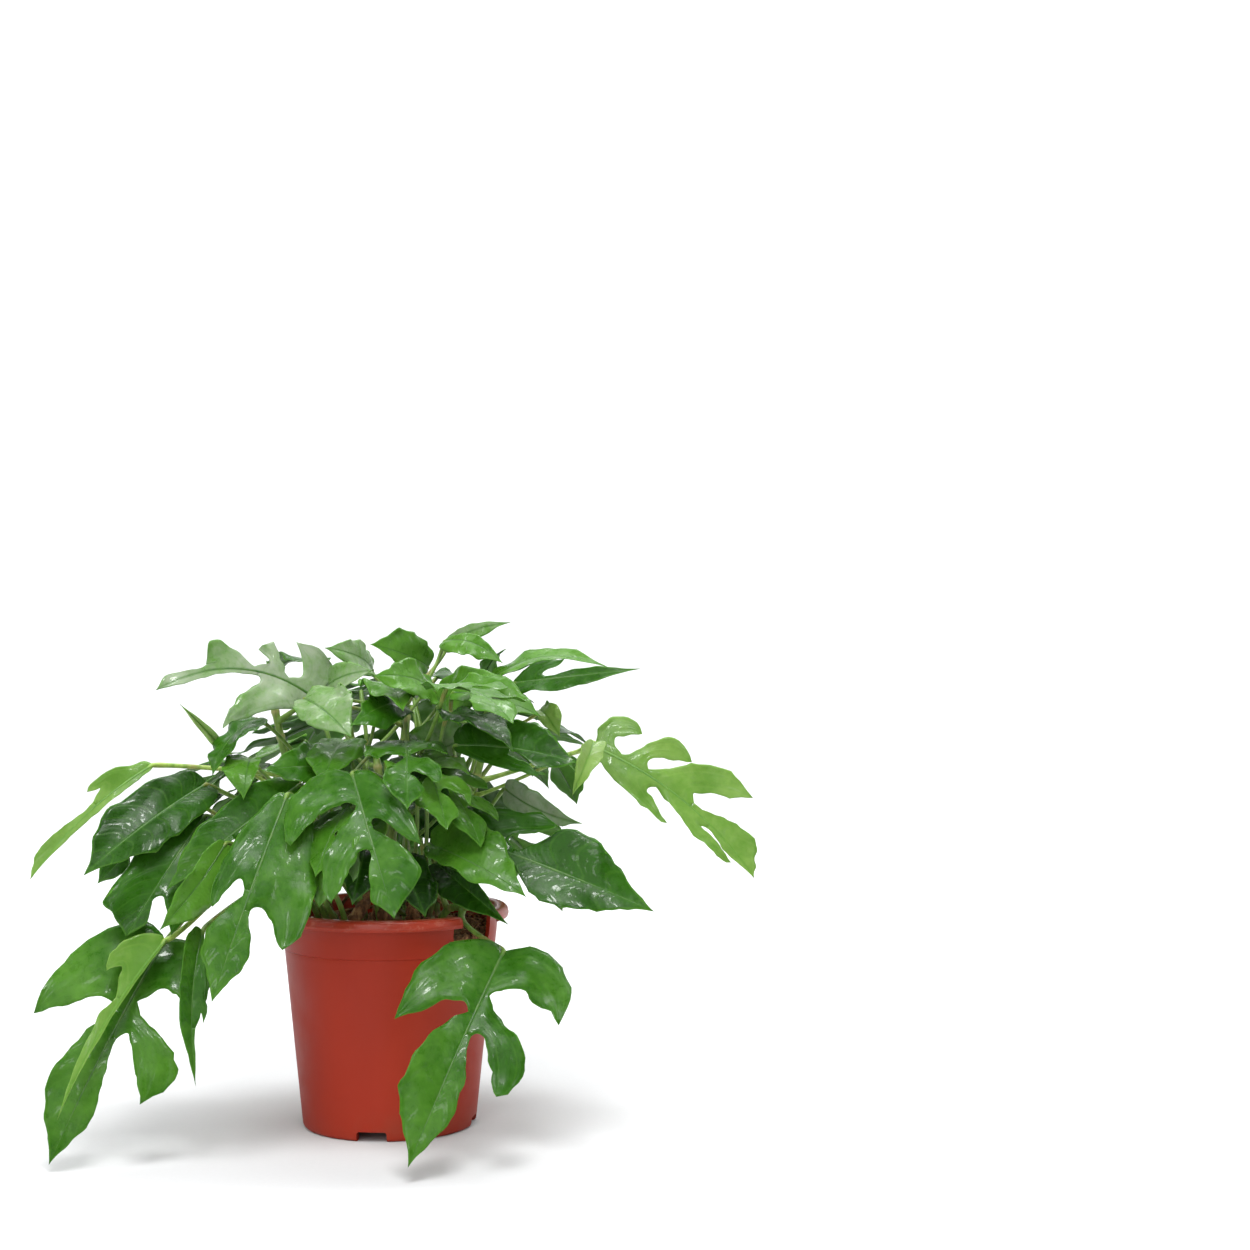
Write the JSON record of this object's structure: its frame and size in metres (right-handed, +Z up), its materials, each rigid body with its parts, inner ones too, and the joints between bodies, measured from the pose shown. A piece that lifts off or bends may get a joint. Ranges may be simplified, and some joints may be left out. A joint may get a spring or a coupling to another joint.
{
  "type": "potted mini monstera plant",
  "caption": "Potted mini monstera with deeply split leaves on arching petioles, rising from a tapered plastic nursery pot with a banded rim and a notched foot.",
  "frame": {"origin": "on the pot's axis, on the surface the pot stands on", "axes": "+Z up, -Y towards the front of the plant, +X to the right as seen from the front"},
  "size_m": [0.3592, 0.262, 0.2543],
  "materials": {
    "pot_plastic": "satin moulded terracotta-coloured plastic",
    "soil": "loose brown fibrous potting mix",
    "stem": "satin green to brown stem",
    "leaf_mature": "glossy dark green upper side, matte paler underside",
    "leaf_young": "satin bright yellow-green"
  },
  "bodies": {
    "root": {"leaf_back_left": "leaf_mature", "leaf_back_low": "leaf_mature", "leaf_back_low_left": "leaf_mature", "leaf_back_low_right": "leaf_mature", "leaf_back_middle": "leaf_mature", "leaf_back_right": "leaf_mature", "leaf_back_upper_left": "leaf_mature", "leaf_back_upper_right": "leaf_mature", "leaf_centre_curled": "leaf_mature", "leaf_centre_small": "leaf_mature", "leaf_centre_turned": "leaf_mature", "leaf_far_left": "leaf_young", "leaf_front_centre": "leaf_mature", "leaf_inner_front": "leaf_mature", "leaf_inner_left": "leaf_mature", "leaf_inner_right": "leaf_mature", "leaf_inner_upper": "leaf_mature", "leaf_left_broad": "leaf_mature", "leaf_left_dark": "leaf_mature", "leaf_left_front": "leaf_mature", "leaf_left_inner": "leaf_mature", "leaf_left_shoot": "leaf_young", "leaf_left_turned": "leaf_mature", "leaf_left_under": "leaf_mature", "leaf_low_left": "leaf_mature", "leaf_low_left_narrow": "leaf_mature", "leaf_low_left_young": "leaf_young", "leaf_right_arm": "leaf_young", "leaf_right_dark": "leaf_mature", "leaf_right_hanging": "leaf_mature", "leaf_right_light": "leaf_mature", "leaf_right_shoot_high": "leaf_young", "leaf_right_shoot_low": "leaf_young", "leaf_right_split": "leaf_mature", "leaf_right_turned": "leaf_mature", "leaf_top_centre": "leaf_mature", "leaf_top_glossy": "leaf_mature", "leaf_top_glossy_left": "leaf_mature", "leaf_top_peak": "leaf_mature", "leaf_top_right": "leaf_mature", "leaf_trailing_front": "leaf_mature", "leaf_upper_left": "leaf_mature", "leaf_upper_left_front": "leaf_mature", "leaf_upper_left_grey": "leaf_mature", "leaf_upper_left_pale": "leaf_mature", "leaf_upper_right_front": "leaf_mature", "leaf_upper_right_grey": "leaf_mature", "leaf_upper_right_long": "leaf_mature", "leaf_upper_right_tip": "leaf_mature", "pot": "pot_plastic", "shoot_left": "leaf_mature", "shoot_middle": "leaf_mature", "shoot_right": "leaf_mature", "soil": "soil", "stem_back": "stem", "stem_centre": "stem", "stem_front": "stem", "stem_left": "stem", "stem_low_left": "stem", "stem_right": "stem"}
  },
  "joints": []
}
